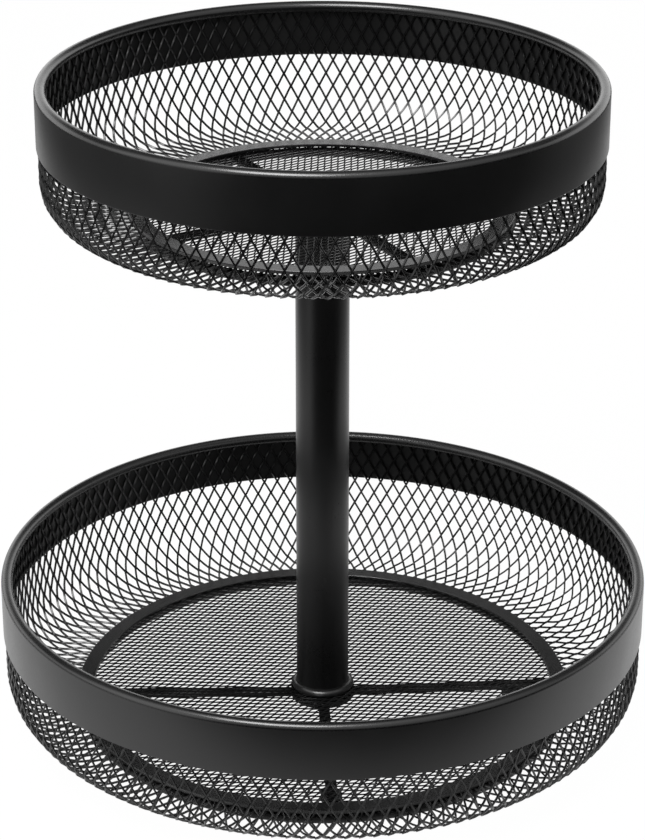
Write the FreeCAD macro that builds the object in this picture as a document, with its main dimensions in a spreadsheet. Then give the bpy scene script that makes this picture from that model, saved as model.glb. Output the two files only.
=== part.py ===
import FreeCAD, Part
import math
import os
import Sketcher

# Two round trays of black expanded metal on a steel post, turning together on a low cross-shaped base.
# Millimetres, +Z up, with the origin on the table under the middle of the post.

doc = FreeCAD.newDocument("tiered_basket")
sheet = doc.addObject("Spreadsheet::Sheet", "sizes")
named_rows = []
sub_parts = []


def size(alias, entry):
    """Name one size in the sheet: a plain number, or a formula of the sizes above it."""
    named_rows.append(alias)
    row = len(named_rows)
    sheet.set("A%d" % row, alias)
    sheet.set("B%d" % row, str(entry))
    sheet.setAlias("B%d" % row, alias)


driving_sizes = {
    # Rims and trays
    "lower_rim_dia": 270,
    "upper_rim_dia": 225,
    "rim_wire_dia": 4.8,
    "band_gauge": 0.7,
    "band_height": 21.7,
    "mesh_gauge": 1.0,
    "seat_gap": 0.05,
    "lower_tray_depth": 56.75,
    "upper_tray_depth": 50.75,
    "lower_corner_radius": 18,
    "upper_corner_radius": 15,
    # Floors, from the foot of the wall's corner inwards
    "lower_shelf_width": 11.25,
    "upper_shelf_width": 18.75,
    "floor_ring_width": 7,
    "floor_ring_gauge": 1.2,
    "mesh_seam_gap": 0.4,
    "net_pitch": 11,
    "net_length": 19,
    "net_strand": 2,
    "wall_net_length": 24,
    "wall_net_strand": 2.5,
    # Wire rings and crosses under the floors
    "frame_rod_dia": 3.2,
    "frame_gap": 0.7,
    "frame_inset": 0.8,
    "arm_width": 4.7,
    "arm_height": 2.4,
    "groove_width": 1.4,
    "groove_depth": 0.6,
    "hub_dia": 27,
    "weld_gap": 0.15,
    "base_cross_turn": 2.5,
    "upper_cross_turn": 30,
    # Feet and glides of the base
    "foot_dia": 9,
    "foot_height": 2.8,
    "foot_inset": 19,
    "glide_dia": 4.6,
    "glide_inset": 3.2,
    "glide_gap": 0.25,
    # Pivot in the foot of the post
    "pin_dia": 8,
    "pin_play": 0.05,
    "pin_head_dia": 13,
    "pin_head_height": 1.4,
    "pin_tail": 1.2,
    "hole_clearance": 0.6,
    "thrust_washer_dia": 24,
    "thrust_washer_gauge": 0.75,
    "lift_play": 0.1,
    "hub_plate_gauge": 1.2,
    "bush_height": 24,
    "clip_dia": 16,
    "clip_gauge": 0.8,
    "clip_gap": 0.2,
    # Post
    "post_dia": 22,
    "post_wall": 1.2,
    "post_length": 214.8,
    "collar_dia": 26.6,
    "collar_height": 0.6,
    "collar_flare": 1.5,
    "collar_neck_gauge": 0.4,
    "collar_neck_height": 2.0,
    # Fixing of the upper tray
    "screw_dia": 6,
    "screw_head_dia": 12,
    "screw_head_height": 3.5,
    "screw_length": 16,
    "top_washer_dia": 18,
    "top_washer_gauge": 1.2,
    "insert_height": 14,
}
for alias, number in driving_sizes.items():
    size(alias, number)

# Diamonds round each wall mesh
wall_cells = 24

# Levels from the table up
size("arm_level", "=foot_height")
size("arm_top", "=arm_level + arm_height")
size("thrust_top", "=arm_top + thrust_washer_gauge")
size("hub_plate_level", "=thrust_top + lift_play")
size("lower_floor", "=hub_plate_level + hub_plate_gauge")
size("post_foot", "=lower_floor + mesh_gauge")
size("post_top", "=post_foot + post_length")
size("upper_floor", "=post_top + arm_height")

# How far the band's inner edge meets the rim wire below the wire's middle
size("band_drop", "=sqrt(band_gauge * (rim_wire_dia - band_gauge))")

# Radii and levels that both trays work out the same way
for tier in ("lower", "upper"):
    size(tier + "_floor_top", "=%s_floor + mesh_gauge" % tier)
    size(tier + "_ring_top", "=%s_floor_top + floor_ring_gauge" % tier)
    size(tier + "_rim_level", "=%s_floor + %s_tray_depth" % (tier, tier))
    size(tier + "_wire_radius", "=(%s_rim_dia - rim_wire_dia) / 2" % tier)
    size(tier + "_wall_top", "=%s_rim_level - rim_wire_dia / 2 - seat_gap" % tier)
    size(tier + "_band_top", "=%s_rim_level - band_drop - seat_gap" % tier)
    size(tier + "_band_foot", "=%s_rim_level - band_height" % tier)
    size(tier + "_band_outer", "=%s_rim_dia / 2" % tier)
    size(tier + "_band_inner", "=%s_band_outer - band_gauge" % tier)
    size(tier + "_wall_outer", "=%s_band_inner - seat_gap" % tier)
    size(tier + "_wall_inner", "=%s_wall_outer - mesh_gauge" % tier)
    size(tier + "_corner_inside", "=%s_corner_radius - mesh_gauge" % tier)
    size(tier + "_ring_outer", "=%s_wall_outer - %s_corner_radius - %s_shelf_width" % (tier, tier, tier))
    size(tier + "_ring_inner", "=%s_ring_outer - floor_ring_width" % tier)
    size(tier + "_wall_edge", "=(%s_ring_outer + %s_ring_inner + mesh_seam_gap) / 2" % (tier, tier))
    size(tier + "_floor_edge", "=%s_wall_edge - mesh_seam_gap" % tier)
    size(tier + "_frame_radius", "=%s_ring_outer - frame_inset - frame_rod_dia / 2" % tier)
    size(tier + "_frame_level", "=%s_floor - frame_gap - frame_rod_dia / 2" % tier)
    size(tier + "_arm_reach", "=%s_frame_radius - frame_rod_dia / 2 - weld_gap" % tier)

# Radii and levels of the pivot, the post and the top screw
size("hub_outer", "=hub_dia / 2")
size("pin_outer", "=pin_dia / 2")
size("pin_running", "=pin_outer + pin_play")
size("pin_hole", "=pin_outer + hole_clearance")
size("pin_head_outer", "=pin_head_dia / 2")
size("pin_head_level", "=arm_level - pin_head_height")
size("thrust_outer", "=thrust_washer_dia / 2")
size("post_outer", "=post_dia / 2")
size("post_inner", "=post_outer - post_wall")
size("plug_outer", "=post_inner - seat_gap")
size("bush_top", "=post_foot + bush_height")
size("clip_outer", "=clip_dia / 2")
size("clip_level", "=bush_top + clip_gap")
size("clip_top", "=clip_level + clip_gauge")
size("pin_top", "=clip_top + pin_tail")
size("collar_seat", "=post_outer + seat_gap")
size("collar_neck", "=collar_seat + collar_neck_gauge")
size("collar_outer", "=collar_dia / 2")
size("collar_top", "=post_foot + collar_height")
size("collar_neck_top", "=collar_top + collar_neck_height")
size("insert_level", "=post_top - insert_height")
size("screw_outer", "=screw_dia / 2")
size("screw_thread", "=screw_outer + pin_play")
size("screw_hole", "=screw_outer + hole_clearance")
size("top_washer_outer", "=top_washer_dia / 2")
size("top_washer_top", "=upper_floor_top + top_washer_gauge")
size("screw_head_outer", "=screw_head_dia / 2")
size("screw_head_top", "=top_washer_top + screw_head_height")
size("screw_tip", "=top_washer_top - screw_length")
size("glide_level", "=arm_top")
size("glide_height", "=lower_floor - glide_gap - glide_level")
size("glide_circle", "=lower_arm_reach - glide_inset")
size("foot_circle", "=lower_arm_reach - foot_inset")
doc.recompute()


def value(alias):
    """The number that a named size holds now."""
    return float(sheet.get(alias))


def bind(item, **formulas):
    """Tie properties of a document object to formulas of the named sizes."""
    for name, formula in formulas.items():
        item.setExpression(name.replace("_", "."), formula)


def turned(label, edges):
    """Turn a square-cut outline about the upright axis.

    The outline is listed edge by edge, anticlockwise: ("r", size) is an upright edge at that radius,
    with None for the axis itself, and ("z", size) is a level edge at that height. A third entry names
    the radius that rounds the corner at the edge's end.
    """
    body = doc.addObject("PartDesign::Body", label)
    sketch = body.newObject("Sketcher::SketchObject", label + "_outline")
    planes = {plane.Role: plane for plane in body.Origin.OriginFeatures}
    sketch.AttachmentSupport = (planes["XZ_Plane"], [""])
    sketch.MapMode = "FlatFace"

    places = [0.0 if edge[1] is None else value(edge[1]) for edge in edges]
    count = len(edges)
    corners = []
    for i in range(count):
        after = (i + 1) % count
        if edges[i][0] == "r":
            corners.append(FreeCAD.Vector(places[i], places[after], 0))
        else:
            corners.append(FreeCAD.Vector(places[after], places[i], 0))
    ways = [(corners[i] - corners[i - 1]).normalize() for i in range(count)]
    rounds = [value(edge[2]) if len(edge) > 2 else 0.0 for edge in edges]

    for i in range(count):
        start = corners[i - 1] + ways[i] * rounds[i - 1]
        end = corners[i] - ways[i] * rounds[i]
        sketch.addGeometry(Part.LineSegment(start, end), False)
    for i in range(count):
        after = (i + 1) % count
        kind, alias = edges[i][:2]
        sketch.addConstraint(Sketcher.Constraint("Vertical" if kind == "r" else "Horizontal", i))
        if alias is None:
            sketch.addConstraint(Sketcher.Constraint("PointOnObject", i, 1, -2))
        else:
            across = "DistanceX" if kind == "r" else "DistanceY"
            index = sketch.addConstraint(Sketcher.Constraint(across, -1, 1, i, 1, places[i]))
            sketch.setExpression("Constraints[%d]" % index, "sizes." + alias)
        if not rounds[i]:
            sketch.addConstraint(Sketcher.Constraint("Coincident", i, 2, after, 1))
            continue
        centre = corners[i] + (ways[after] - ways[i]) * rounds[i]
        left_turn = ways[i].cross(ways[after]).z > 0
        spoke = -ways[after] if left_turn else ways[i]
        begin = math.atan2(spoke.y, spoke.x)
        circle = Part.Circle(centre, FreeCAD.Vector(0, 0, 1), rounds[i])
        number = sketch.addGeometry(Part.ArcOfCircle(circle, begin, begin + math.pi / 2), False)
        near, far = (1, 2) if left_turn else (2, 1)
        sketch.addConstraint(Sketcher.Constraint("Tangent", i, 2, number, near))
        sketch.addConstraint(Sketcher.Constraint("Tangent", number, far, after, 1))
        index = sketch.addConstraint(Sketcher.Constraint("Radius", number, rounds[i]))
        sketch.setExpression("Constraints[%d]" % index, "sizes." + edges[i][2])

    turn = body.newObject("PartDesign::Revolution", label + "_turn")
    turn.Profile = sketch
    turn.ReferenceAxis = (sketch, ["V_Axis"])
    turn.Angle = 360
    body.Tip = turn
    sub_parts.append(body)


def wire_ring(label, radius, rod_dia, level):
    """A round rod bent into a level ring and butt-welded."""
    ring = doc.addObject("Part::Torus", label)
    bind(ring, Radius1="sizes." + radius, Radius2="sizes.%s / 2" % rod_dia, Placement_Base_z="sizes." + level)
    sub_parts.append(ring)


def block(name, x, y, z, length, width, height):
    """A square-cut block, placed by its lowest corner."""
    box = doc.addObject("Part::Box", name)
    bind(box, Length=length, Width=width, Height=height,
         Placement_Base_x=x, Placement_Base_y=y, Placement_Base_z=z)
    return box


def disc(name, radius, level, height):
    """A plain upright cylinder on the post's axis."""
    round_bar = doc.addObject("Part::Cylinder", name)
    bind(round_bar, Radius=radius, Height=height, Placement_Base_z=level)
    return round_bar


def frame_cross(label, reach, level, bore, turn):
    """Four flat arms round a bored middle, cut from plate, with a groove pressed along each arm."""
    reach, level = "sizes." + reach, "sizes." + level
    bars = []
    grooves = []
    cuts = level + " + sizes.arm_height - sizes.groove_depth"
    for way in ("x", "y"):
        along, across = "2 * " + reach, "sizes.arm_width"
        corner = ["-" + reach, "-sizes.arm_width / 2"]
        extent = [along, across]
        if way == "y":
            corner.reverse()
            extent.reverse()
        bars.append(block(label + "_bar_" + way, corner[0], corner[1], level, extent[0], extent[1],
                          "sizes.arm_height"))
        for side, start in (("plus", "sizes.hub_outer"), ("minus", "-" + reach)):
            groove_corner = [start, "-sizes.groove_width / 2"]
            groove_extent = [reach + " - sizes.hub_outer", "sizes.groove_width"]
            if way == "y":
                groove_corner.reverse()
                groove_extent.reverse()
            grooves.append(block("%s_groove_%s_%s" % (label, way, side), groove_corner[0], groove_corner[1],
                                 cuts, groove_extent[0], groove_extent[1], "sizes.groove_depth"))
    bars.append(disc(label + "_middle", "sizes.hub_outer", level, "sizes.arm_height"))
    grooves.append(disc(label + "_bore", "sizes." + bore, level, "sizes.arm_height"))
    plate = doc.addObject("Part::MultiFuse", label + "_plate")
    plate.Shapes = bars
    waste = doc.addObject("Part::MultiFuse", label + "_waste")
    waste.Shapes = grooves
    cross = doc.addObject("Part::Cut", label)
    cross.Base = plate
    cross.Tool = waste
    cross.Refine = True
    bind(cross, Placement_Rotation_Angle="sizes.%s * 1 deg" % turn)
    sub_parts.append(cross)


def quarter_pads(label, dia, circle, level, height):
    """Four like pads, one on each arm of the base cross."""
    pads = []
    for quarter in range(4):
        turn = "(%d + sizes.base_cross_turn) * 1 deg" % (90 * quarter)
        pad = disc("%s_%d" % (label, quarter + 1), "sizes.%s / 2" % dia, level, "sizes." + height)
        bind(pad, Placement_Base_x="sizes.%s * cos(%s)" % (circle, turn),
             Placement_Base_y="sizes.%s * sin(%s)" % (circle, turn))
        pads.append(pad)
    group = doc.addObject("Part::Compound", label)
    group.Links = pads
    sub_parts.append(group)


def floor_net(label, tier, bore):
    """The floor's expanded metal: one flat sheet with a diamond gap in each cell, staggered row by row.

    The diamonds are as long as net_length and as wide as net_pitch from strand to strand. Cells that would
    cut the edge under the floor ring or the seat under the post stay solid.
    """
    half_wide = value("net_pitch") / 2
    half_long = value("net_length") / 2
    strand = value("net_strand")
    shrink = 1 - strand / 2 * math.hypot(1 / half_wide, 1 / half_long)
    outer_limit = value(tier + "_ring_inner") - strand
    inner_limit = value("hub_outer") + strand
    edge = value(tier + "_floor_edge")
    up = FreeCAD.Vector(0, 0, 1)
    wires = [Part.Wire(Part.makeCircle(radius, FreeCAD.Vector(), up)) for radius in (edge, value(bore))]
    rows = int(edge / half_long) + 1
    columns = int(edge / half_wide) + 1
    for row in range(-rows, rows + 1):
        for column in range(-columns, columns + 1):
            if (row + column) % 2:
                continue
            middle = FreeCAD.Vector(column * half_wide, row * half_long, 0)
            tips = [middle + FreeCAD.Vector(x * half_wide, y * half_long, 0) * shrink
                    for x, y in ((1, 0), (0, 1), (-1, 0), (0, -1))]
            diamond = Part.makePolygon(tips + tips[:1])
            nearest = diamond.distToShape(Part.Vertex(0, 0, 0))[0]
            farthest = max(tip.Length for tip in tips)
            if middle.Length > inner_limit and nearest > inner_limit and farthest < outer_limit:
                wires.append(diamond)
    face = Part.makeFace(Part.Compound(wires), "Part::FaceMakerBullseye")
    net = doc.addObject("Part::Feature", label)
    net.Shape = face.extrude(up * value("mesh_gauge"))
    net.Placement = FreeCAD.Placement(up * value(tier + "_floor"), FreeCAD.Rotation())
    print(label, "gaps", len(wires) - 2)
    sub_parts.append(net)


def wall_net(label, tier):
    """The wall's expanded metal: a turned shell with a diamond gap in each cell, staggered row by row.

    The rows run from the floor ring outwards, round the corner and up behind the band. Each diamond is as
    long as wall_net_length along the shell's section, one wall cell wide, and cut square to the shell.
    """
    turned(label + "_shell", [
        ("z", tier + "_floor", tier + "_corner_radius"),
        ("r", tier + "_wall_outer"),
        ("z", tier + "_wall_top"),
        ("r", tier + "_wall_inner", tier + "_corner_inside"),
        ("z", tier + "_floor_top"),
        ("r", tier + "_wall_edge"),
    ])
    shell = sub_parts.pop()
    doc.recompute()

    half_gauge = value("mesh_gauge") / 2
    half_long = value("wall_net_length") / 2
    strand = value("wall_net_strand")
    bend = value(tier + "_corner_radius") - half_gauge
    bend_axis = value(tier + "_wall_outer") - half_gauge - bend
    bend_level = value(tier + "_floor") + half_gauge + bend
    quarter = bend * math.pi / 2
    shelf = bend_axis - value(tier + "_ring_outer")
    length = shelf + quarter + value(tier + "_wall_top") - bend_level
    half_cell = math.pi / wall_cells
    up = FreeCAD.Vector(0, 0, 1)

    def place(along, turn):
        """Point on the shell, and the way out of it, at a distance along its section from the floor ring."""
        swing = min(max((along - shelf) / bend, 0), math.pi / 2)
        radius = bend_axis + bend * math.sin(swing) - max(shelf - along, 0)
        level = bend_level - bend * math.cos(swing) + max(along - shelf - quarter, 0)
        around = FreeCAD.Vector(math.cos(turn), math.sin(turn), 0)
        return around * radius + up * level, around * math.sin(swing) - up * math.cos(swing)

    sagitta = bend * (1 - math.cos(half_long / bend))
    overcut = value("mesh_gauge")
    above = half_gauge + overcut
    below = above + sagitta
    gaps = []
    for row in range(1, int(length / half_long)):
        along = row * half_long
        for cell in range(wall_cells):
            turn = (2 * cell + row % 2) * half_cell
            middle, out = place(along, turn)
            tips = [place(along, turn + half_cell), place(along + half_long, turn),
                    place(along, turn - half_cell), place(along - half_long, turn)]
            spokes = [tip - middle - out * (tip - middle).dot(out) for tip, _ in tips]
            shrink = 1 - strand / 2 * math.hypot(1 / spokes[0].Length, 2 / (spokes[1] - spokes[3]).Length)
            root = middle - out * below
            diamond = Part.makePolygon([root + spoke * shrink for spoke in spokes + spokes[:1]])
            gaps.append(Part.Face(diamond).extrude(out * (below + above)))
    net = doc.addObject("Part::Feature", label)
    net.Shape = shell.Shape.cut(gaps)
    print(label, "gaps", len(gaps))
    sub_parts.append(net)


def tray(tier, bore):
    """One tray: rim wire, band, wall mesh, floor ring and floor mesh."""
    wire_ring(tier + "_rim_wire", tier + "_wire_radius", "rim_wire_dia", tier + "_rim_level")
    turned(tier + "_rim_band", [
        ("z", tier + "_band_foot"),
        ("r", tier + "_band_outer"),
        ("z", tier + "_band_top"),
        ("r", tier + "_band_inner"),
    ])
    wall_net(tier + "_wall_mesh", tier)
    turned(tier + "_floor_ring", [
        ("z", tier + "_floor_top"),
        ("r", tier + "_ring_outer"),
        ("z", tier + "_ring_top"),
        ("r", tier + "_ring_inner"),
    ])
    floor_net(tier + "_floor_mesh", tier, bore)


def washer(label, inner, outer, level, top):
    """A flat ring, sleeve or tube with square edges."""
    turned(label, [("z", level), ("r", outer), ("z", top), ("r", inner)])


# The base stands still: wire ring, cross, feet and glides
wire_ring("base_ring", "lower_frame_radius", "frame_rod_dia", "lower_frame_level")
frame_cross("base_cross", "lower_arm_reach", "arm_level", "pin_running", "base_cross_turn")
quarter_pads("rubber_feet", "foot_dia", "foot_circle", "0", "foot_height")
quarter_pads("glides", "glide_dia", "glide_circle", "sizes.glide_level", "glide_height")

# Pivot: a headed pin through the base cross, held inside the post by a push-on clip
turned("pivot_pin", [
    ("z", "pin_head_level"),
    ("r", "pin_head_outer"),
    ("z", "arm_level"),
    ("r", "pin_outer"),
    ("z", "pin_top"),
    ("r", None),
])
washer("thrust_washer", "pin_running", "thrust_outer", "arm_top", "thrust_top")
washer("pin_clip", "pin_running", "clip_outer", "clip_level", "clip_top")

# The post and what turns with it
washer("hub_plate", "pin_hole", "hub_outer", "hub_plate_level", "lower_floor")
washer("post_tube", "post_inner", "post_outer", "post_foot", "post_top")
turned("post_collar", [
    ("z", "post_foot"),
    ("r", "collar_outer"),
    ("z", "collar_top", "collar_flare"),
    ("r", "collar_neck"),
    ("z", "collar_neck_top"),
    ("r", "collar_seat"),
])
washer("pivot_bush", "pin_running", "plug_outer", "post_foot", "bush_top")
washer("post_insert", "screw_thread", "plug_outer", "insert_level", "post_top")

# The two trays, and the frame that carries the upper one on the post
tray("lower", "pin_hole")
tray("upper", "screw_hole")
wire_ring("upper_ring", "upper_frame_radius", "frame_rod_dia", "upper_frame_level")
frame_cross("upper_cross", "upper_arm_reach", "post_top", "screw_hole", "upper_cross_turn")
washer("top_washer", "screw_hole", "top_washer_outer", "upper_floor_top", "top_washer_top")
turned("top_screw", [
    ("z", "screw_tip"),
    ("r", "screw_outer"),
    ("z", "top_washer_top"),
    ("r", "screw_head_outer"),
    ("z", "screw_head_top"),
    ("r", None),
])

doc.recompute()
for item in doc.Objects:
    if "Invalid" in item.State or "Error" in item.State:
        raise RuntimeError("%s failed: %s" % (item.Label, item.State))
for item in sub_parts:
    shape = item.Shape
    if shape.isNull() or not shape.isValid() or not shape.Solids:
        raise RuntimeError("%s has no sound solid" % item.Label)

os.makedirs("parts", exist_ok=True)
for item in sub_parts:
    item.Shape.exportStep("parts/%s.step" % item.Label)
    print(item.Label, "solids", len(item.Shape.Solids), "volume", round(item.Shape.Volume, 2))
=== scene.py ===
import math

import bmesh
import bpy
import numpy as np
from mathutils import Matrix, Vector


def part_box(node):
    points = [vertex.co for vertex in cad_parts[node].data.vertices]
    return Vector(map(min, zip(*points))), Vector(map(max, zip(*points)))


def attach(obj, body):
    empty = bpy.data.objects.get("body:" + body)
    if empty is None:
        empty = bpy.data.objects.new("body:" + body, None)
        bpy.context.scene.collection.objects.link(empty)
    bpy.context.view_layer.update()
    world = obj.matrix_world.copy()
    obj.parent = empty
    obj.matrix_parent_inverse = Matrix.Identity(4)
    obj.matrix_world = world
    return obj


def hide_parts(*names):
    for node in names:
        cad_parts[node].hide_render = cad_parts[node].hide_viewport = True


# A round two-tier organiser in black powder-coated steel: expanded-metal trays with rolled rims, carried
# by one post that turns on a low base. Everything is in metres, in the frame of the solid model.
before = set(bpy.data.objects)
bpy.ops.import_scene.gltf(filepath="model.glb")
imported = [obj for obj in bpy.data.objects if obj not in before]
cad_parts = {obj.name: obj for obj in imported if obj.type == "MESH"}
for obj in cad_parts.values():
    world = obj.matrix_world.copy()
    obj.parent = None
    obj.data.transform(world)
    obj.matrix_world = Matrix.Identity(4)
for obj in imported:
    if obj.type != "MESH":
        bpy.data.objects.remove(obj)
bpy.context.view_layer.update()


# Wire ring of the base
# Round steel rod rolled into a ring and butt-welded, powder-coated with the rest of the base. It carries
# the ends of the cross and stays just clear of the tray that turns above it.
MM = 0.001
coated_rod = 4.0 * MM
rod_sides = 20
rod_ring_steps = 240
turned_corner = math.radians(40)
same_point = 0.002 * MM


def linked_piece(name, mesh, smooth_angle):
    """An object for a finished mesh, in which edges that turn by more than smooth_angle stay sharp."""
    mesh.shade_smooth()
    mesh.set_sharp_from_angle(angle=smooth_angle)
    piece = bpy.data.objects.new(name, mesh)
    bpy.context.scene.collection.objects.link(piece)
    return piece


def mesh_piece(name, points, quads, smooth_angle):
    """A piece from an (n, 3) array of points and an (m, 4) array of corner numbers, with poles merged."""
    mesh = bpy.data.meshes.new(name)
    mesh.from_pydata(points.tolist(), [], quads.tolist())
    shape = bmesh.new()
    shape.from_mesh(mesh)
    bmesh.ops.remove_doubles(shape, verts=shape.verts, dist=same_point)
    bmesh.ops.recalc_face_normals(shape, faces=shape.faces)
    shape.to_mesh(mesh)
    shape.free()
    return linked_piece(name, mesh, smooth_angle)


def turned_faces(steps, count, closed):
    """Faces of a full turn, from point j of step k to point j + 1 of step k + 1, and round to the start.

    A closed outline also has its last point joined to its first.
    """
    station = np.arange(steps)[:, None] * count
    after = np.roll(station, -1, axis=0)
    here = np.arange(count if closed else count - 1)[None, :]
    there = (here + 1) % count
    return np.stack([station + here, after + here, after + there, station + there], axis=-1).reshape(-1, 4)


def revolve(name, outline, steps):
    """Surface of revolution: outline point j = (radius, height), turned by k / steps of a full turn."""
    turn = np.arange(steps)[:, None] * 2 * np.pi / steps
    radius, height = outline[None, :, 0], outline[None, :, 1]
    points = np.stack([radius * np.cos(turn), radius * np.sin(turn), height + 0 * turn], axis=-1)
    return mesh_piece(name, points.reshape(-1, 3), turned_faces(steps, outline.shape[0], True), turned_corner)


def round_section(radius, height, size, count):
    """Outline of a round rod: a circle of that size about (radius, height)."""
    way = np.arange(count) * 2 * np.pi / count
    return np.stack([radius + size / 2 * np.cos(way), height + size / 2 * np.sin(way)], axis=-1)


def ranged(tree, value, start, end, before, after, soft=True):
    """A value moved from the range start to end into the range before to after, by a soft or even step."""
    step = tree.nodes.new("ShaderNodeMapRange")
    step.interpolation_type = "SMOOTHSTEP" if soft else "LINEAR"
    step.inputs["From Min"].default_value, step.inputs["From Max"].default_value = start, end
    step.inputs["To Min"].default_value, step.inputs["To Max"].default_value = before, after
    tree.links.new(value, step.inputs["Value"])
    return step.outputs["Result"]


def combined(tree, operation, *values):
    """Values put together by one operation. Each is a socket or a plain number."""
    joint = tree.nodes.new("ShaderNodeMath")
    joint.operation = operation
    for socket, value in zip(joint.inputs, values):
        if isinstance(value, float):
            socket.default_value = value
        else:
            tree.links.new(value, socket)
    return joint.outputs[0]


def powder_coat_group():
    """Powder coat: fine orange-peel height, a slow drift of tone, a roughness that wanders with both."""
    tone_swing = 0.18
    roughness_swing = 0.10
    group = bpy.data.node_groups.new("powder_coat", "ShaderNodeTree")
    colour, number = "NodeSocketColor", "NodeSocketFloat"
    sockets = {"INPUT": {"Tone": colour, "Roughness": number, "Peel": number},
               "OUTPUT": {"Color": colour, "Roughness": number, "Height": number}}
    for way, kinds in sockets.items():
        for title, kind in kinds.items():
            group.interface.new_socket(title, in_out=way, socket_type=kind)
    node, link = group.nodes.new, group.links.new
    given, result = node("NodeGroupInput"), node("NodeGroupOutput")
    place = node("ShaderNodeTexCoord")
    peel = node("ShaderNodeTexNoise")
    peel.inputs["Detail"].default_value = 3.0
    drift = node("ShaderNodeTexNoise")
    drift.inputs["Scale"].default_value = 45.0
    drift.inputs["Detail"].default_value = 4.0
    link(place.outputs["Object"], peel.inputs["Vector"])
    link(place.outputs["Object"], drift.inputs["Vector"])
    link(given.outputs["Peel"], peel.inputs["Scale"])
    tone = ranged(group, drift.outputs["Fac"], start=0.3, end=0.7, before=1 - tone_swing,
                  after=1 + tone_swing, soft=False)
    shade = node("ShaderNodeVectorMath")
    shade.operation = "SCALE"
    link(given.outputs["Tone"], shade.inputs[0])
    link(tone, shade.inputs["Scale"])
    wander = combined(group, "ADD", peel.outputs["Fac"], drift.outputs["Fac"])
    offset = combined(group, "MULTIPLY_ADD", wander, roughness_swing, -roughness_swing)
    link(shade.outputs["Vector"], result.inputs["Color"])
    link(combined(group, "ADD", given.outputs["Roughness"], offset), result.inputs["Roughness"])
    link(peel.outputs["Fac"], result.inputs["Height"])
    return group


powder_coat = powder_coat_group()


def coated(title, tone, roughness, gloss, peel, depth):
    """A coated finish: its tone, roughness, specular level, orange-peel frequency and orange-peel depth."""
    material = bpy.data.materials.new(title)
    material.use_nodes = True
    tree = material.node_tree
    shader = tree.nodes["Principled BSDF"]
    shader.inputs["Specular IOR Level"].default_value = gloss
    coat = tree.nodes.new("ShaderNodeGroup")
    coat.node_tree = powder_coat
    coat.inputs["Tone"].default_value = (*tone, 1.0)
    coat.inputs["Roughness"].default_value = roughness
    coat.inputs["Peel"].default_value = peel
    bump = tree.nodes.new("ShaderNodeBump")
    bump.inputs["Strength"].default_value = 0.5
    bump.inputs["Distance"].default_value = depth
    tree.links.new(coat.outputs["Color"], shader.inputs["Base Color"])
    tree.links.new(coat.outputs["Roughness"], shader.inputs["Roughness"])
    tree.links.new(coat.outputs["Height"], bump.inputs["Height"])
    tree.links.new(bump.outputs["Normal"], shader.inputs["Normal"])
    return material


def fit(piece, finish, body, slot, *nodes):
    """Give a piece its finish, hang it on the body that carries it, and hide the solids that it stands for.
    """
    piece.data.materials.append(finish)
    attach(piece, body)
    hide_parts(*nodes)


def rod_ring(node, body):
    """A level ring of round rod, with its top and its outer edge where those of its solid are."""
    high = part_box(node)[1]
    section = round_section(high.x - coated_rod / 2, high.z - coated_rod / 2, coated_rod, rod_sides)
    fit(revolve(node + "_rod", section, rod_ring_steps), frame_coat, body, "black_coat", node)


frame_coat = coated("frame_black", tone=(0.0020, 0.0020, 0.0021), roughness=0.42, gloss=0.3,
                    peel=1400.0, depth=0.02 * MM)
rod_ring("base_ring", "base")


# Cross of the base
# Four arms and a round middle pressed from strip, with a channel along the top of each arm. The arms rise a
# little from the middle, which stands low under the pivot, to the ring that they are welded to.
arm_count = 4
arm_width = 4.7 * MM
arm_height = 2.4 * MM
arm_root = 12.0 * MM
arm_stations = 24
arm_climb = 1.2
arm_corner = math.radians(25)
weld_gap = 0.15 * MM
hub_radius = 13.5 * MM
hub_edge = 0.4 * MM
pin_bore = 4.05 * MM
base_turn = math.radians(2.5)
base_rise = 1.5 * MM
arm_ways = np.arange(arm_count)[:, None] * 2 * np.pi / arm_count


def carried_bars(path, across, up, section, inside):
    """Points and faces of bars: section point (a, b) carried along a path, at path + a * across + b * up.

    path, across and up are (bars, stations, 3) arrays, and section is (corners, 2). A bar is kept between
    neighbouring stations that both lie inside, with a cap at each end.
    """
    corners = section.shape[0]
    points = (path[:, :, None] + section[None, None, :, :1] * across[:, :, None]
              + section[None, None, :, 1:] * up[:, :, None]).reshape(-1, 3)
    station = np.arange(inside.size).reshape(inside.shape) * corners
    span = inside[:, :-1] & inside[:, 1:]
    here = np.arange(corners)
    there = (here + 1) % corners
    first = station[:, :-1][span][:, None]
    sides = np.stack([first + here, first + there, first + corners + there, first + corners + here], axis=-1)
    padded = np.pad(span, ((0, 0), (1, 1)))
    starts = station[padded[:, 1:] & ~padded[:, :-1]]
    ends = station[padded[:, :-1] & ~padded[:, 1:]]
    low = np.arange(corners // 2 - 1)
    cap = np.stack([low, low + 1, corners - 2 - low, corners - 1 - low], axis=-1)
    quads = np.concatenate([sides.reshape(-1, 4), (starts[:, None, None] + cap).reshape(-1, 4),
                            (ends[:, None, None] + cap[:, ::-1]).reshape(-1, 4)])
    used, numbers = np.unique(quads, return_inverse=True)
    return points[used], numbers.reshape(quads.shape)


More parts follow.
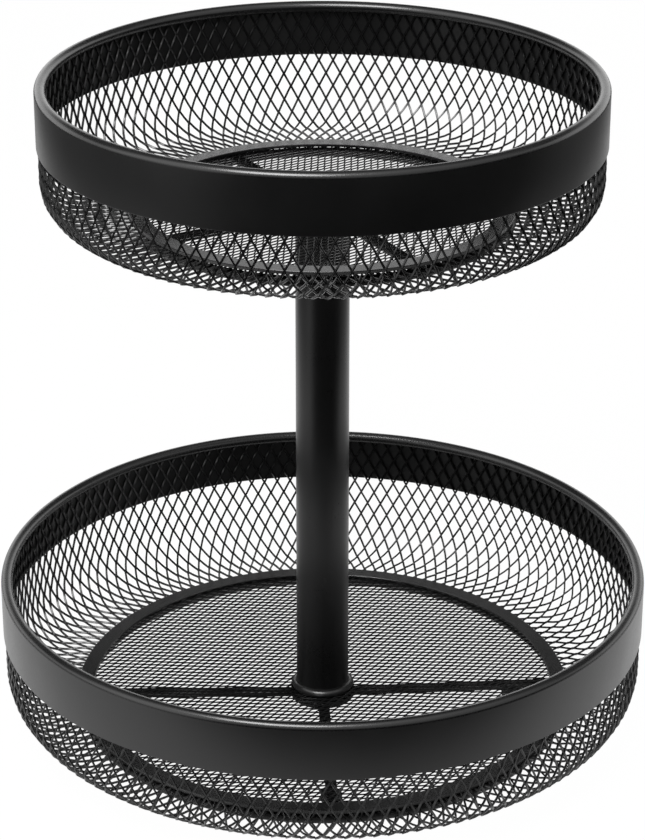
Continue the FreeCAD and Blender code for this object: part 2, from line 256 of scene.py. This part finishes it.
def arms(name, reach, level, turn, rise):
    """Four arms: a channelled section carried outwards along a line that climbs smoothly by rise."""
    channel = np.array([(-0.50, 0.10), (-0.44, 0.0), (0.44, 0.0), (0.50, 0.10), (0.50, 0.86), (0.42, 1.0),
                        (0.24, 1.0), (0.14, 0.72), (-0.14, 0.72), (-0.24, 1.0), (-0.42, 1.0), (-0.50, 0.86)])
    out = np.linspace(arm_root, reach, arm_stations)
    climb = level + rise * ((out - arm_root) / (reach - arm_root)) ** arm_climb
    way = turn + arm_ways
    path = np.stack([out * np.cos(way), out * np.sin(way), climb + 0 * way], axis=-1)
    across = np.stack([-np.sin(way) + 0 * out, np.cos(way) + 0 * out, 0 * way * out], axis=-1)
    up = np.zeros_like(path)
    up[..., 2] = 1.0
    whole = np.ones(path.shape[:2], bool)
    points, quads = carried_bars(path, across, up, channel * (arm_width, arm_height), whole)
    return mesh_piece(name, points, quads, arm_corner)


def arm_reach(ring):
    """How far out the arms run: to the inner side of the ring's solid, less the gap of the weld."""
    low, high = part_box(ring)
    return high.x - (high.z - low.z) - weld_gap


def rounded_outline(corners, radius, steps=5):
    """A closed outline with each corner rounded: an arc from one side to the next, tangent to both."""
    corners = np.asarray(corners, float)
    back = np.roll(corners, 1, axis=0) - corners
    ahead = np.roll(corners, -1, axis=0) - corners
    back /= np.linalg.norm(back, axis=1, keepdims=True)
    ahead /= np.linalg.norm(ahead, axis=1, keepdims=True)
    blend = np.linspace(0, np.pi / 2, steps)[None, :, None]
    start = corners + back * radius
    forward = ahead[:, None] * radius * (1 - np.cos(blend))
    inward = back[:, None] * radius * np.sin(blend)
    return (start[:, None] + forward - inward).reshape(-1, 2)


def flat_ring(name, inner, outer, low, high, edge, steps=160):
    """A flat turned ring with softened edges."""
    corners = [(inner, low), (outer, low), (outer, high), (inner, high)]
    return revolve(name, rounded_outline(corners, edge), steps)


base_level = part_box("base_cross")[0].z
base_reach = arm_reach("base_ring")
base_arms = arms("base_arms", base_reach, base_level, base_turn, base_rise)
fit(base_arms, frame_coat, "base", "black_coat", "base_cross")
base_hub = flat_ring("base_hub", pin_bore, hub_radius, base_level, base_level + arm_height, hub_edge)
fit(base_hub, frame_coat, "base", "black_coat", "base_cross")


# Rubber feet
# Soft moulded pads pushed onto the undersides of the arms, slightly domed at the edge, which keep the base
# from sliding and from marking the table.
foot_radius = 4.5 * MM
foot_inset = 19.0 * MM
foot_rise_share = 0.75
pad_steps = 36
pad_corner = math.radians(50)


def four_pads(name, circle, outline):
    """Four like turned pads on the arms: outline point j turned k steps about the axis of pad i."""
    spin = np.arange(pad_steps)[None, :, None] * 2 * np.pi / pad_steps
    way = base_turn + arm_ways[:, :, None]
    radius, height = outline[None, None, :, 0], outline[None, None, :, 1]
    points = np.stack([circle * np.cos(way) + radius * np.cos(spin),
                       circle * np.sin(way) + radius * np.sin(spin),
                       height + 0 * way + 0 * spin], axis=-1)
    count = outline.shape[0]
    first = np.arange(arm_count)[:, None, None] * pad_steps * count
    quads = (first + turned_faces(pad_steps, count, False)).reshape(-1, 4)
    return mesh_piece(name, points.reshape(-1, 3), quads, pad_corner)


foot_rubber = coated("foot_rubber", tone=(0.012, 0.012, 0.012), roughness=0.78, gloss=0.4,
                     peel=2200.0, depth=0.03 * MM)
foot_top = base_level + base_rise * foot_rise_share
foot_outline = np.array([(0, 0), (0.80, 0), (0.94, 0.07), (1.0, 0.22), (0.96, 0.86), (0.90, 1.0), (0, 1.0)])
feet = four_pads("feet_rubber", base_reach - foot_inset, foot_outline * (foot_radius, foot_top))
fit(feet, foot_rubber, "base", "black_rubber", "rubber_feet")


# Glides
# Small domed nylon buttons riveted to the ends of the arms. They steady the turning tray when its edge is
# loaded, and stay just clear of it otherwise.
glide_radius = 2.3 * MM
glide_inset = 3.2 * MM
glide_rise_share = 0.9
glide_nylon = coated("glide_nylon", tone=(0.020, 0.020, 0.020), roughness=0.5, gloss=0.5,
                     peel=1800.0, depth=0.01 * MM)
glide_foot = base_level + arm_height + base_rise * glide_rise_share
glide_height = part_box("glides")[1].z - glide_foot
glide_outline = np.array([(0, 0), (1.0, 0), (1.0, 0.35), (0.82, 0.80), (0.45, 1.0), (0, 1.0)])
glide_outline = glide_outline * (glide_radius, glide_height) + (0, glide_foot)
glides = four_pads("glide_buttons", base_reach - glide_inset, glide_outline)
fit(glides, glide_nylon, "base", "black_nylon", "glides")


# Pivot
# A headed pin through the base, a nylon washer and bush that it turns in, and a push-on clip on its end.
# They sit inside the foot of the post, so their solids serve as they are, in nylon and bright zinc plate.
def zinc_plate():
    """Bright zinc: pale blue-grey metal with fine turned scratches round the axis and a cloudy roughness."""
    material = bpy.data.materials.new("zinc_plate")
    material.use_nodes = True
    tree = material.node_tree
    node, link = tree.nodes.new, tree.links.new
    shader = tree.nodes["Principled BSDF"]
    shader.inputs["Metallic"].default_value = 1.0
    place = node("ShaderNodeTexCoord")
    stretch = node("ShaderNodeMapping")
    stretch.inputs["Scale"].default_value = (60.0, 60.0, 4000.0)
    link(place.outputs["Object"], stretch.inputs["Vector"])
    scratch = node("ShaderNodeTexNoise")
    scratch.inputs["Scale"].default_value = 1.0
    link(stretch.outputs["Vector"], scratch.inputs["Vector"])
    tone = node("ShaderNodeValToRGB")
    tone.color_ramp.elements[0].color = (0.48, 0.49, 0.50, 1)
    tone.color_ramp.elements[1].color = (0.70, 0.70, 0.69, 1)
    link(scratch.outputs["Fac"], tone.inputs["Fac"])
    link(tone.outputs["Color"], shader.inputs["Base Color"])
    cloud = ranged(tree, scratch.outputs["Fac"], start=0.0, end=1.0, before=0.25, after=0.42, soft=False)
    link(cloud, shader.inputs["Roughness"])
    return material


zinc = zinc_plate()
pivot_finishes = {"pivot_pin": zinc, "pin_clip": zinc, "post_insert": zinc, "pivot_bush": glide_nylon,
                  "thrust_washer": glide_nylon}
for node, finish in pivot_finishes.items():
    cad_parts[node].data.materials.clear()
    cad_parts[node].data.materials.append(finish)


# Hub plate, post and collar
# A round plate under the floor mesh, a 22 mm welded tube standing on it, and a spun collar with a flared
# edge that covers the joint of tube and floor.
plate_bore = 4.6 * MM
plate_edge = 0.3 * MM
post_wall = 1.2 * MM
post_steps = 128
collar_clearance = 0.05 * MM
collar_neck = 0.06 * MM
collar_lip = 0.1 * MM
flare_steps = 12
flare_foot = 0.7 * MM
flare_wall = 0.5 * MM
flare_chamfer_up = 0.2 * MM
flare_chamfer_in = 0.15 * MM
post_coat = coated("post_black", tone=(0.0012, 0.0012, 0.0013), roughness=0.30, gloss=0.6,
                   peel=1100.0, depth=0.01 * MM)

low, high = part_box("hub_plate")
hub_plate = flat_ring("hub_plate_disc", plate_bore, high.x, low.z, high.z, plate_edge)
fit(hub_plate, frame_coat, "carousel", "black_coat", "hub_plate")

low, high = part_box("post_tube")
post_radius = high.x
post_foot = low.z
post_inner = post_radius - post_wall
post = flat_ring("post_tube_steel", post_inner, post_radius, low.z, high.z, plate_edge, post_steps)
fit(post, post_coat, "carousel", "black_coat", "post_tube")

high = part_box("post_collar")[1]
flare_edge = high.x
seat = post_radius + collar_clearance
neck = seat + collar_neck
flare_top = high.z - collar_lip
sweep = np.linspace(0, np.pi / 2, flare_steps)
flare = np.stack([flare_edge - (flare_edge - neck) * np.sin(sweep),
                  flare_top - (flare_top - post_foot - flare_foot) * np.cos(sweep)], axis=-1)
collar_foot = [(seat, post_foot), (flare_edge - flare_chamfer_in, post_foot),
               (flare_edge, post_foot + flare_chamfer_up), (flare_edge, post_foot + flare_wall)]
collar_outline = np.concatenate([collar_foot, flare, [(seat, high.z)]])
collar = revolve("post_collar_flare", collar_outline, post_steps)
fit(collar, post_coat, "carousel", "black_coat", "post_collar")


# Floor meshes
# Fine expanded metal: a sheet slit and stretched into diamonds, each strand leaning like a louvre, cut to a
# disc and clamped under the floor ring. The two discs are cut at different angles to the diamonds.
floor_diamond_long = 5.43 * MM
floor_diamond_wide = 3.20 * MM
floor_strand = 0.85 * MM
floor_gauge = {"lower": 0.58 * MM, "upper": 0.48 * MM}
floor_long_way = {"lower": math.radians(26.5), "upper": math.radians(58.5)}
floor_lean = math.radians(40)
floor_bond = 0.12
floor_overlap = 0.9
floor_trim = 0.6 * MM
post_overlap = 2.0 * MM
shortest_step = 0.05
strand_corner = math.radians(50)
both_sides = np.array([1.0, -1.0])[None, :, None]


def strand_section(width, gauge):
    """Six-sided section of a coated strand: flat-faced, with sides drawn out to a blunt edge."""
    half, flat = 0.5, 0.30
    outline = [(-half, 0.0), (-flat, -half), (flat, -half), (half, 0.0), (flat, half), (-flat, half)]
    return np.array(outline) * (width, gauge)


def unit(vectors):
    """Vectors scaled to length one."""
    return vectors / np.linalg.norm(vectors, axis=-1, keepdims=True)


def zigzag(first, last, bond, split):
    """Stations from first to last along a zigzag strand, in half rows, and its place across its cell, 0 to 1.

    A strand runs side by side with its neighbour for a share bond at each end of a half row, and crosses
    over in a straight line between. split adds stations to that line.
    """
    inner = np.linspace(bond, 1 - bond, split + 2)
    station = (np.arange(math.floor(first), math.ceil(last))[:, None] + inner[None, :]).ravel()
    between = station[(station > first + shortest_step) & (station < last - shortest_step)]
    station = np.concatenate([[first], between, [last]])
    swing = 1 - np.abs(station % 2 - 1)
    return station, np.clip((swing - bond) / (1 - 2 * bond), 0, 1)


def strand_net(name, path, facing, section, inside):
    """Strands carried along their paths, flat sides turned to facing, kept where they lie inside."""
    tangent = unit(np.gradient(path, axis=1))
    across = unit(np.cross(tangent, facing))
    up = np.cross(across, tangent)
    points, quads = carried_bars(path, across, up, section, inside)
    mesh = bpy.data.meshes.new(name)
    mesh.from_pydata(points.tolist(), [], quads.tolist())
    return linked_piece(name, mesh, strand_corner)


def floor_mesh(tier):
    """Disc of expanded metal: zigzag strands along the diamonds' long way, kept where they lie in it."""
    low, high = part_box(tier + "_floor_mesh")
    edge = high.x
    level = (low.z + high.z) / 2
    half_row = floor_diamond_long / 2
    rows = 2 * int(edge / half_row) + 2
    columns = int(edge / floor_diamond_wide) + 2
    station, swing = zigzag(0, rows, floor_bond, 0)
    along = (station - rows / 2) * half_row
    lane = np.arange(-columns, columns + 1)[:, None, None] * floor_diamond_wide
    bond_width = floor_strand * floor_overlap
    offset = bond_width / 2 + (floor_diamond_wide / 2 - bond_width) * swing
    sideways = (lane + both_sides * offset[None, None, :]).reshape(-1, along.size)
    forward = np.broadcast_to(along, sideways.shape)
    cosine, sine = math.cos(floor_long_way[tier]), math.sin(floor_long_way[tier])
    path = np.stack([forward * cosine - sideways * sine, forward * sine + sideways * cosine,
                     np.full_like(forward, level)], axis=-1)
    facing = np.array([-sine * math.sin(floor_lean), cosine * math.sin(floor_lean), math.cos(floor_lean)])
    reach = np.hypot(path[..., 0], path[..., 1])
    inside = (reach < edge - floor_trim) & (reach > post_radius - post_overlap)
    section = strand_section(floor_strand, floor_gauge[tier])
    return strand_net(tier + "_floor_net", path, facing, section, inside)


mesh_coat = coated("mesh_black", tone=(0.0016, 0.0016, 0.0017), roughness=0.25, gloss=0.50,
                   peel=1500.0, depth=0.01 * MM)
for tier in ("lower", "upper"):
    fit(floor_mesh(tier), mesh_coat, "carousel", "black_coat", tier + "_floor_mesh")


# Wall meshes
# Coarser expanded metal bent into a hoop with its diamonds upright: it stands inside the band from the rim
# wire down, turns in at a rounded corner and runs flat under the floor ring.
wall_sheet = 1.0 * MM
wall_diamond_high = 11.3 * MM
wall_diamond_wide = 6.1 * MM
wall_strand = 0.98 * MM
wall_gauge = 0.72 * MM
wall_lean = math.radians(-52)
wall_bond = 0.05
wall_overlap = 0.55
wall_corner = {"lower": 18.0 * MM, "upper": 15.0 * MM}
wall_start = {"lower": -2.1 * MM, "upper": -0.95 * MM}
wall_to_floor_gap = 0.4 * MM


def wall_mesh(tier):
    """Upright zigzag strands on the wall: straight down, round a quarter circle, then level inwards.

    A station is a distance s along that section from the top. Its radius and height follow the straight, the
    arc and the level run in turn, and its angle is its cell's place plus the strand's swing across the cell.
    """
    low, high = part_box(tier + "_wall_mesh")
    radius = high.x - wall_sheet / 2
    floor = low.z + wall_sheet / 2
    bend = wall_corner[tier] - wall_sheet / 2
    inner_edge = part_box(tier + "_floor_mesh")[1].x + wall_to_floor_gap
    straight = high.z - floor - bend
    arc = bend * np.pi / 2
    flat = radius - bend - inner_edge
    half_row = wall_diamond_high / 2
    start = wall_start[tier]
    station, swing = zigzag(-start / half_row, (straight + arc + flat - start) / half_row, wall_bond, 1)
    s = start + station * half_row
    angle = np.clip((s - straight) / bend, 0, np.pi / 2)
    r = radius - bend + bend * np.cos(angle) - np.clip(s - straight - arc, 0, None)
    z = np.where(s < straight, high.z - s, floor + bend - bend * np.sin(angle))
    cells = round(2 * np.pi * radius / wall_diamond_wide)
    cell = 2 * np.pi / cells
    place = np.arange(cells)[:, None, None] * cell
    bond_width = wall_strand * wall_overlap * math.cos(wall_lean)
    bond_depth = wall_strand * wall_overlap * math.sin(wall_lean)
    offset = (bond_width / 2 + (r * cell / 2 - bond_width) * swing) / r
    depth = (both_sides * -bond_depth * (0.5 - swing) + 0 * place).reshape(-1, s.size)
    turn = (place + both_sides * offset[None, None, :]).reshape(-1, s.size)
    cosine, sine = np.cos(turn), np.sin(turn)
    outward = np.stack([np.cos(angle) * cosine, np.cos(angle) * sine, -np.sin(angle) + 0 * turn], axis=-1)
    around = np.stack([-sine, cosine, 0 * turn], axis=-1)
    path = np.stack([r * cosine, r * sine, z + 0 * turn], axis=-1) + depth[..., None] * outward
    facing = outward * math.cos(wall_lean) + around * math.sin(wall_lean)
    whole = np.ones(turn.shape, bool)
    section = strand_section(wall_strand, wall_gauge)
    return strand_net(tier + "_wall_net", path, facing, section, whole)


for tier in ("lower", "upper"):
    fit(wall_mesh(tier), mesh_coat, "carousel", "black_coat", tier + "_wall_mesh")


# Floor rings
# Flat steel rings cut from sheet, with the slightly leaning edge that the shears leave. Each is pressed over
# the joint of wall mesh and floor mesh and spot-welded through both.
ring_width = 7.0 * MM
shear_lean = 0.3 * MM
ring_edge = 0.2 * MM
ring_steps = 320
ring_coat = coated("ring_black", tone=(0.0022, 0.0022, 0.0023), roughness=0.23, gloss=0.6,
                   peel=1200.0, depth=0.01 * MM)
for tier in ("lower", "upper"):
    low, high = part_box(tier + "_floor_ring")
    inner = high.x - ring_width
    top_edge = high.x - shear_lean
    ring_outline = np.array([(inner, low.z), (high.x, low.z), (top_edge, high.z - ring_edge),
                             (top_edge - ring_edge, high.z), (inner + ring_edge, high.z),
                             (inner, high.z - ring_edge)])
    ring = revolve(tier + "_floor_hoop", ring_outline, ring_steps)
    fit(ring, ring_coat, "carousel", "black_coat", tier + "_floor_ring")


# Rim bands
# Strip steel rolled into a hoop and welded, with a softened lower edge, outside the wall mesh. Its top edge
# is welded into the rim wire.
band_gauge = 0.7 * MM
band_edge = 0.3 * MM
rim_steps = 400
band_coat = coated("band_black", tone=(0.0020, 0.0020, 0.0021), roughness=0.33, gloss=0.6,
                   peel=1000.0, depth=0.01 * MM)
for tier in ("lower", "upper"):
    low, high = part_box(tier + "_rim_band")
    wire_low, wire_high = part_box(tier + "_rim_wire")
    band_top = (wire_low.z + wire_high.z) / 2
    inner, outer = high.x - band_gauge, high.x
    corners = [(inner, low.z), (outer, low.z), (outer, band_top), (inner, band_top)]
    rounded_foot = rounded_outline(corners, band_edge).reshape(4, -1, 2)[:2].reshape(-1, 2)
    band = revolve(tier + "_rim_hoop", np.concatenate([rounded_foot, corners[2:]]), rim_steps)
    fit(band, band_coat, "carousel", "black_coat", tier + "_rim_band")


# Rim wires
# Round wire rolled to a ring and welded along the top of band and mesh, so that the rim has no raw edge.
# The coat lies a little smoother on the wire than on the band.
wire_sides = 32
wire_coat = coated("wire_black", tone=(0.0020, 0.0020, 0.0021), roughness=0.27, gloss=0.6,
                   peel=1000.0, depth=0.01 * MM)
for tier in ("lower", "upper"):
    low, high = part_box(tier + "_rim_wire")
    wire = high.z - low.z
    section = round_section(high.x - wire / 2, (low.z + high.z) / 2, wire, wire_sides)
    bead = revolve(tier + "_rim_bead", section, rim_steps)
    fit(bead, wire_coat, "carousel", "black_coat", tier + "_rim_wire")


# Frame of the upper tray
# The same rod ring and pressed cross as in the base, welded together. The cross lies flat under the floor
# mesh and is screwed down on the post.
upper_turn = math.radians(30)
upper_rise = 0.0
screw_bore = 3.6 * MM
rod_ring("upper_ring", "carousel")
upper_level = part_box("upper_cross")[0].z
upper_arms = arms("upper_arms", arm_reach("upper_ring"), upper_level, upper_turn, upper_rise)
fit(upper_arms, frame_coat, "carousel", "black_coat", "upper_cross")
upper_hub = flat_ring("upper_hub", screw_bore, hub_radius, upper_level, upper_level + arm_height, hub_edge)
fit(upper_hub, frame_coat, "carousel", "black_coat", "upper_cross")


# Top screw and washer
# A black button-head screw with a hexagon socket, over a plain washer. It clamps the upper tray to the
# insert in the top of the post.
washer_edge = 0.25 * MM
screw_steps = 96
screw_corner = math.radians(35)
head_height = 3.5 * MM
shank_radius = 3.0 * MM
tip_chamfer = 0.6 * MM
socket_share = 0.36
brim_share = 0.45
skirt_share = 0.25
socket_depth_share = 0.55
tip_share = 0.8
dome_power = 1.4
dome_steps = 7


def socket_screw(name, head_foot, head_radius, tip):
    """Outline of a domed head turned about the axis, with the socket's radius following a hexagon."""
    turn = np.arange(screw_steps)[:, None] * 2 * np.pi / screw_steps
    dome = np.linspace(0, 1, dome_steps)[None, :]
    socket = socket_share * head_radius * math.cos(math.pi / 6) / np.cos((turn % (np.pi / 3)) - np.pi / 6)
    top = head_foot + head_height
    socket_floor = top - socket_depth_share * head_height
    dome_radius = head_radius - (head_radius - brim_share * head_radius) * dome ** dome_power
    dome_rise = (1 - skirt_share) * head_height * np.sin(dome * np.pi / 2)
    dome_height = head_foot + skirt_share * head_height + dome_rise
    flat = 0 * turn
    radius = np.concatenate([flat, flat + shank_radius * tip_share, flat + shank_radius, flat + shank_radius,
                             flat + head_radius, flat + dome_radius, socket, socket, flat], axis=1)
    height = np.concatenate([flat + tip, flat + tip, flat + tip + tip_chamfer, flat + head_foot,
                             flat + head_foot, flat + dome_height, flat + top, flat + socket_floor,
                             flat + socket_floor], axis=1)
    points = np.stack([radius * np.cos(turn), radius * np.sin(turn), height], axis=-1)
    quads = turned_faces(screw_steps, radius.shape[1], False)
    return mesh_piece(name, points.reshape(-1, 3), quads, screw_corner)


low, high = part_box("top_washer")
washer = flat_ring("top_washer_disc", screw_bore, high.x, low.z, high.z, washer_edge, screw_steps)
fit(washer, frame_coat, "carousel", "black_coat", "top_washer")
low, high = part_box("top_screw")
screw = socket_screw("top_screw_button", high.z - head_height, high.x, low.z)
fit(screw, post_coat, "carousel", "black_coat", "top_screw")


# Table
# A plain white sheet under the object, clear from below. It shows white to the camera, with a faint trace of
# shadow. For reflections it glows with a painted pool of light, dimmed by painted shade under the object and
# by a painted falloff towards the front.
table_front = -0.30
table_back = 2.6
table_half_width = 1.7
table_top = -0.05 * MM
table_white = (0.82, 0.82, 0.82, 1)
camera_share = 0.985
# Painted light seen in reflections: a glowing pool, painted shade under the object, a painted falloff in
# front.
pool_centre = 0.32
pool_stretch = 0.45
pool_bright = 0.30
pool_dim = 0.65
pool_rest = 0.1
shade_inner = 0.04
shade_outer = 0.15
shade_level = 0.12
fade_slant = math.radians(-12)
fade_start = -0.253
fade_end = -0.12


def table_white_and_painted_glow():
    """Matt white, mixed with an even white for the camera and with a painted pool of light for reflections.

    The painted pool of light is a step by distance from its stretched centre, times a painted shade by
    distance from the post, times a painted falloff along a slanted line from front to back.
    """
    material = bpy.data.materials.new("white_table_and_painted_glow")
    material.use_nodes = True
    tree = material.node_tree
    node, link = tree.nodes.new, tree.links.new
    shader = tree.nodes["Principled BSDF"]
    shader.inputs["Base Color"].default_value = table_white
    shader.inputs["Roughness"].default_value = 0.9
    shader.inputs["Specular IOR Level"].default_value = 0.1
    place = node("ShaderNodeTexCoord").outputs["Object"]

    def moved(**settings):
        """The place on the table, moved, turned or stretched."""
        mapping = node("ShaderNodeMapping")
        for title, value in settings.items():
            mapping.inputs[title].default_value = value
        link(place, mapping.inputs["Vector"])
        return mapping.outputs["Vector"]

    def distance(vector):
        """Length of a vector."""
        span = node("ShaderNodeVectorMath")
        span.operation = "LENGTH"
        link(vector, span.inputs[0])
        return span.outputs["Value"]

    stretched = moved(Location=(0.0, -pool_centre * pool_stretch, 0.0), Scale=(1.0, pool_stretch, 1.0))
    pool = ranged(tree, distance(stretched), pool_bright, pool_dim, 1.0, pool_rest)
    shade = ranged(tree, distance(place), shade_inner, shade_outer, shade_level, 1.0, soft=False)
    slanted = node("ShaderNodeSeparateXYZ")
    link(moved(Rotation=(0.0, 0.0, fade_slant)), slanted.inputs["Vector"])
    fade = ranged(tree, slanted.outputs["Y"], fade_start, fade_end, 0.0, 1.0)
    # Painted light: the glow that reflections see, the pool times the painted shade and the painted falloff.
    lit = combined(tree, "MULTIPLY", pool, combined(tree, "MULTIPLY", shade, fade))
    path = node("ShaderNodeLightPath")
    glow = node("ShaderNodeEmission")
    link(combined(tree, "MAXIMUM", path.outputs["Is Camera Ray"], lit), glow.inputs["Strength"])
    seen = combined(tree, "MULTIPLY", path.outputs["Is Camera Ray"], camera_share)
    mixed = node("ShaderNodeMixShader")
    link(combined(tree, "MAXIMUM", seen, path.outputs["Is Glossy Ray"]), mixed.inputs["Fac"])
    link(shader.outputs["BSDF"], mixed.inputs[1])
    link(glow.outputs["Emission"], mixed.inputs[2])
    one_way = node("ShaderNodeMixShader")
    link(node("ShaderNodeNewGeometry").outputs["Backfacing"], one_way.inputs["Fac"])
    link(mixed.outputs["Shader"], one_way.inputs[1])
    link(node("ShaderNodeBsdfTransparent").outputs["BSDF"], one_way.inputs[2])
    link(one_way.outputs["Shader"], tree.nodes["Material Output"].inputs["Surface"])
    return material


table_mesh = bpy.data.meshes.new("table")
table_corners = [(-table_half_width, table_front, table_top), (table_half_width, table_front, table_top),
                 (table_half_width, table_back, table_top), (-table_half_width, table_back, table_top)]
table_mesh.from_pydata(table_corners, [], [(0, 1, 2, 3)])
table = bpy.data.objects.new("table", table_mesh)
bpy.context.scene.collection.objects.link(table)
table_mesh.materials.append(table_white_and_painted_glow())


# Room and lamp
# A plain studio, white to the camera. A low pale sheet stands behind, the front rises from dark at table
# height to pale, a white board stands at the left, and one large soft lamp hangs in front overhead.
def room():
    """World light by direction, a sum of soft steps along its three axes, and plain white to the camera."""
    world = bpy.data.worlds.new("studio")
    bpy.context.scene.world = world
    world.use_nodes = True
    tree = world.node_tree
    node, link = tree.nodes.new, tree.links.new
    ground = tree.nodes["Background"]
    ground.inputs["Color"].default_value = (1.0, 1.0, 1.0, 1.0)
    way = node("ShaderNodeSeparateXYZ")
    link(node("ShaderNodeTexCoord").outputs["Generated"], way.inputs["Vector"])

    def step(axis, start, end, before, after):
        """A soft step along one axis of the direction, from a value before start to a value after end."""
        return ranged(tree, way.outputs[axis], start, end, before, after)

    sheet = combined(tree, "MULTIPLY", step("Y", start=-0.2, end=0.5, before=0.0, after=1.0),
                     step("Z", start=0.37, end=0.45, before=1.6, after=0.0))
    front = combined(tree, "MULTIPLY", step("Y", start=-0.15, end=0.35, before=0.75, after=0.0),
                     step("Z", start=-0.05, end=0.25, before=0.0, after=1.0))
    ceiling = step("Z", start=0.45, end=0.90, before=0.03, after=0.30)
    board = combined(tree, "MULTIPLY", step("X", start=-0.80, end=-0.45, before=1.0, after=0.0),
                     step("Y", start=-0.10, end=0.20, before=1.0, after=0.0))
    board = combined(tree, "MULTIPLY", board, step("Z", start=-0.70, end=0.35, before=0.0, after=1.1))
    light = combined(tree, "ADD", combined(tree, "ADD", sheet, front), combined(tree, "ADD", ceiling, board))
    path = node("ShaderNodeLightPath")
    link(combined(tree, "MAXIMUM", light, path.outputs["Is Camera Ray"]), ground.inputs["Strength"])


def lamp(name, place, target, width, depth, power):
    """A rectangular soft lamp at a place, turned to face a target."""
    light = bpy.data.lights.new(name, "AREA")
    light.shape = "RECTANGLE"
    light.size, light.size_y = width, depth
    light.energy = power
    holder = bpy.data.objects.new(name, light)
    bpy.context.scene.collection.objects.link(holder)
    away = np.array(place) - np.array(target)
    flat = math.hypot(away[0], away[1])
    holder.location = place
    holder.rotation_euler = (math.atan2(flat, away[2]), 0, math.atan2(away[0], -away[1]))


room()
lamp("softbox", place=(-0.27, -0.70, 1.20), target=(0.0, 0.0, 0.18), width=0.62, depth=0.56, power=17.5)


# Camera
# The photograph's view: level sideways, a little over a metre away, looking down by about 24 degrees with a
# long lens.
camera_tilt = math.radians(24.30)
camera_data = bpy.data.cameras.new("camera")
camera_data.sensor_fit = "VERTICAL"
camera_data.sensor_height = 36.0
camera_data.lens = 118.71
camera = bpy.data.objects.new("camera", camera_data)
camera.location = (0.0, -1.0404, 0.6019)
camera.rotation_euler = (math.pi / 2 - camera_tilt, 0.0, 0.0)
bpy.context.scene.collection.objects.link(camera)
bpy.context.scene.camera = camera
bpy.context.scene.view_settings.view_transform = "Standard"
